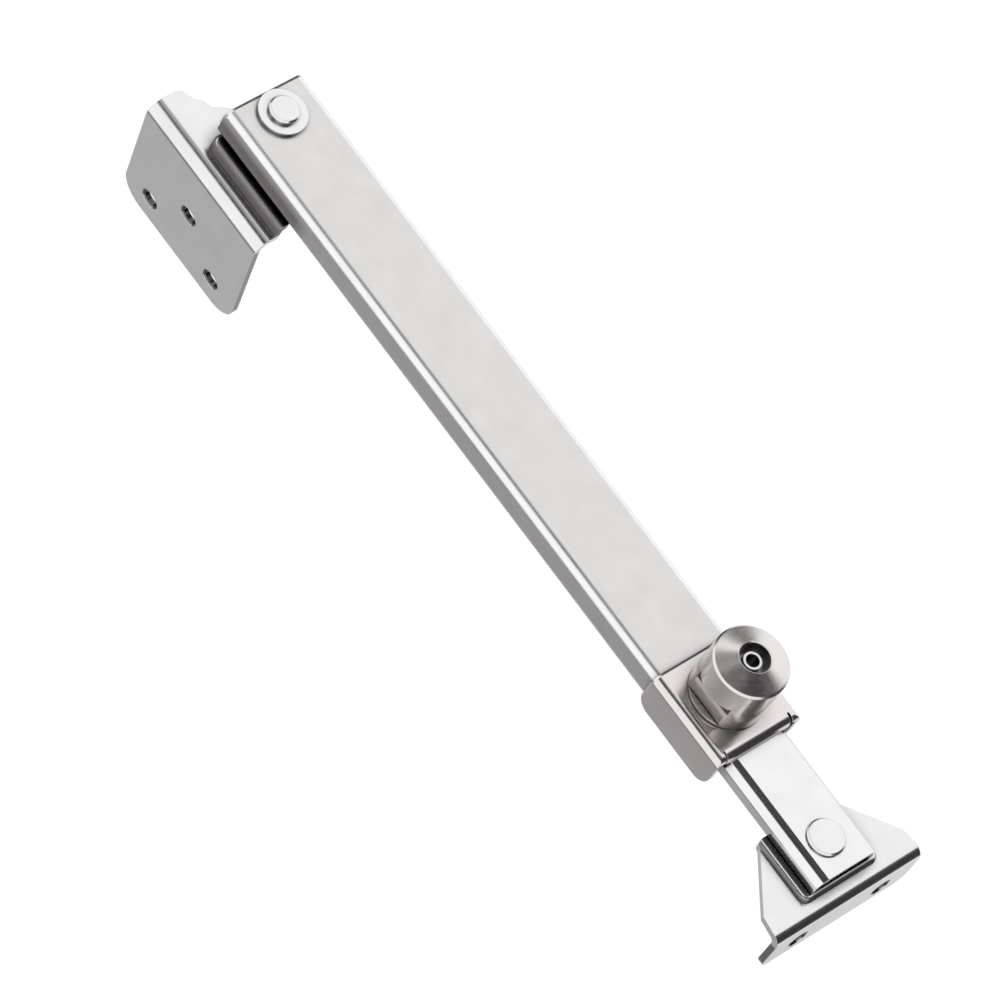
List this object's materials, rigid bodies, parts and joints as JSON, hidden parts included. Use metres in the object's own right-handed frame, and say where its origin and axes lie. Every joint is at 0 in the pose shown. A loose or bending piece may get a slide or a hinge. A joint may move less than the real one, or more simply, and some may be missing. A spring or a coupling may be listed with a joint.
{
  "type": "window restrictor",
  "caption": "Lockable sliding window restrictor: channel arm with riveted frame and sash brackets and a key lock at its mouth.",
  "frame": {"origin": "axis of the frame bracket's top screw hole, on the face that seats on the window frame", "axes": "+X along the arm from the frame pivot to the sash pivot, +Z along both pivots towards the lock knob, +Y from the frame bracket's screw face towards the arm"},
  "size_m": [0.2113, 0.0394, 0.0668],
  "materials": {
    "arm_steel": "satin brushed along the arm",
    "sheet_steel": "satin with polished folds",
    "turned_steel": "fine turned",
    "rivet_steel": "smooth satin",
    "spring_steel": "bright wire",
    "nylon": "natural nylon"
  },
  "bodies": {
    "frame": {"frame_bracket": "sheet_steel", "frame_pivot_rivet": "rivet_steel", "frame_pivot_washer": "rivet_steel", "frame_tail_washer": "rivet_steel"},
    "arm": {"outer_arm": "arm_steel", "frame_pivot_block": "nylon", "lock_collar": "sheet_steel", "lock_base": "turned_steel", "lock_barrel": "turned_steel", "lock_spring": "spring_steel", "mouth_glide": "nylon"},
    "plunger": {"lock_plunger": "turned_steel"},
    "slider": {"inner_arm": "arm_steel", "inner_glide": "nylon", "glide_rivet": "rivet_steel"},
    "sash": {"sash_bracket": "sheet_steel", "sash_pivot_rivet": "rivet_steel", "sash_pivot_bush": "nylon", "sash_tail_washer": "rivet_steel"}
  },
  "joints": [
    {"name": "frame_pivot", "type": "hinge", "parent": "frame", "child": "arm", "pos_m": [0, 0.0103, 0.02333], "axis": [0, 0, 1], "range_deg": [-90, 90]},
    {"name": "arm_slide", "type": "slide", "parent": "arm", "child": "slider", "axis": [1, 0, 0], "range_m": [0, 0.1089]},
    {"name": "sash_pivot", "type": "hinge", "parent": "slider", "child": "sash", "pos_m": [0.181, 0.0103, 0.02333], "axis": [0, 0, 1], "range_deg": [-90, 90]},
    {"name": "plunger_lift", "type": "slide", "parent": "arm", "child": "plunger", "axis": [0, 0, 1], "range_m": [0, 0.0018], "stiffness_N_per_m": 300, "springref_m": -0.004, "deforming": ["lock_spring"]}
  ]
}
